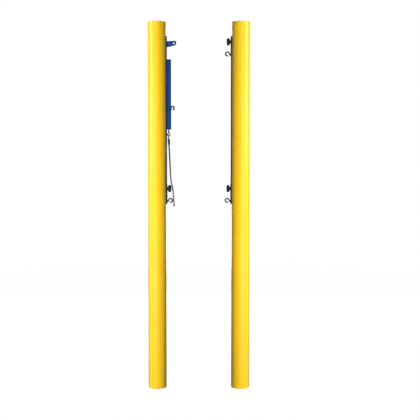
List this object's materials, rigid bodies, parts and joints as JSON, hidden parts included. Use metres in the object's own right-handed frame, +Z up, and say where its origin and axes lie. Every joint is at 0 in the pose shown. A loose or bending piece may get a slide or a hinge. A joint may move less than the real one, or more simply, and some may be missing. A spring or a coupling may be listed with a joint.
{
  "type": "volleyball net post pair",
  "caption": "Pair of round volleyball net posts with rail sliders, net hooks, star knobs, cable guide and rope tensioner.",
  "frame": {"origin": "on the floor, midway between the two posts' axes", "axes": "+X from the tension post to the anchor post, +Y away from the viewer, +Z up along the posts"},
  "size_m": [0.78, 0.14, 2.8],
  "materials": {
    "yellow_powder_coat": "smooth gloss powder coat on aluminium tube",
    "yellow_cap": "satin moulded cap",
    "blue_rail": "satin paint on an aluminium rail",
    "blue_paint": "satin powder coat on steel",
    "zinc_steel": "zinc plated",
    "dark_hook_steel": "dark blue-black coating",
    "spring_steel": "bright drawn wire",
    "black_plastic": "satin moulded",
    "grey_nylon": "machined nylon",
    "rope": "braided polyester"
  },
  "bodies": {
    "posts": {"tension_post_tube": "yellow_powder_coat", "tension_post_top_cap": "yellow_cap", "tension_post_base_cap": "yellow_cap", "tension_post_rail": "blue_rail", "tension_post_rail_stop_lower": "black_plastic", "tension_post_rail_stop_upper": "black_plastic", "anchor_post_tube": "yellow_powder_coat", "anchor_post_top_cap": "yellow_cap", "anchor_post_base_cap": "yellow_cap", "anchor_post_rail": "blue_rail", "anchor_post_rail_stop_lower": "black_plastic", "anchor_post_rail_stop_upper": "black_plastic", "cable_guide_bracket": "blue_paint", "cable_guide_nut": "zinc_steel", "cable_guide_screw_lower": "zinc_steel", "cable_guide_screw_upper": "zinc_steel", "sheave_axle": "zinc_steel", "cable_guard_rivet": "zinc_steel", "tensioner_housing": "blue_paint", "housing_top_cap": "blue_paint", "housing_bottom_cap": "blue_paint", "housing_nut_lower": "zinc_steel", "housing_nut_upper": "zinc_steel", "housing_screw_lower": "zinc_steel", "housing_screw_upper": "zinc_steel"},
    "cable_sheave": {"cable_sheave": "grey_nylon"},
    "tension_carriage": {"carriage_block": "grey_nylon", "carriage_hook": "zinc_steel", "carriage_pin": "spring_steel", "pull_rod": "zinc_steel", "return_spring": "spring_steel"},
    "quick_link": {"quick_link": "zinc_steel"},
    "hand_rope": {"rope_socket": "zinc_steel", "hand_rope": "rope", "rope_crimp_sleeve": "zinc_steel", "rope_end_cap": "black_plastic"},
    "tension_lower_slider": {"tension_lower_plate": "zinc_steel", "tension_lower_clamp_nut": "zinc_steel", "tension_lower_washer": "zinc_steel", "tension_lower_hook": "dark_hook_steel"},
    "tension_lower_knob": {"tension_lower_knob": "black_plastic"},
    "anchor_upper_slider": {"anchor_upper_plate": "zinc_steel", "anchor_upper_clamp_nut": "zinc_steel", "anchor_upper_washer": "zinc_steel", "anchor_upper_hook": "dark_hook_steel"},
    "anchor_upper_knob": {"anchor_upper_knob": "black_plastic"},
    "anchor_lower_slider": {"anchor_lower_plate": "zinc_steel", "anchor_lower_clamp_nut": "zinc_steel", "anchor_lower_washer": "zinc_steel", "anchor_lower_hook": "dark_hook_steel"},
    "anchor_lower_knob": {"anchor_lower_knob": "black_plastic"}
  },
  "joints": [
    {"name": "cable_sheave_turn", "type": "hinge", "parent": "posts", "child": "cable_sheave", "pos_m": [-0.1905, 0, 2.639], "axis": [0, 1, 0], "continuous": true},
    {"name": "tension_carriage_slide", "type": "slide", "parent": "posts", "child": "tension_carriage", "axis": [0, 0, 1], "range_m": [-0.1, 0], "stiffness_N_per_m": 150, "springref_m": 0.1, "deforming": ["return_spring"]},
    {"name": "quick_link_swing", "type": "hinge", "parent": "tension_carriage", "child": "quick_link", "pos_m": [-0.23, 0, 1.9415], "axis": [-1, 0, 0], "range_deg": [0, 60]},
    {"name": "hand_rope_swing", "type": "hinge", "parent": "quick_link", "child": "hand_rope", "pos_m": [-0.23, -0.00257, 1.92197], "axis": [0, -0.9914, 0.1305], "range_deg": [0, 60]},
    {"name": "tension_lower_slide", "type": "slide", "parent": "posts", "child": "tension_lower_slider", "axis": [0, 0, 1], "range_m": [0, 0.06]},
    {"name": "tension_lower_knob_turn", "type": "hinge", "parent": "tension_lower_slider", "child": "tension_lower_knob", "pos_m": [-0.225, 0, 1.539], "axis": [1, 0, 0], "continuous": true},
    {"name": "anchor_upper_slide", "type": "slide", "parent": "posts", "child": "anchor_upper_slider", "axis": [0, 0, 1], "range_m": [-0.45, 0]},
    {"name": "anchor_upper_knob_turn", "type": "hinge", "parent": "anchor_upper_slider", "child": "anchor_upper_knob", "pos_m": [0.225, 0, 2.652], "axis": [-1, 0, 0], "continuous": true},
    {"name": "anchor_lower_slide", "type": "slide", "parent": "posts", "child": "anchor_lower_slider", "axis": [0, 0, 1], "range_m": [0, 0.5]},
    {"name": "anchor_lower_knob_turn", "type": "hinge", "parent": "anchor_lower_slider", "child": "anchor_lower_knob", "pos_m": [0.225, 0, 1.539], "axis": [-1, 0, 0], "continuous": true}
  ]
}
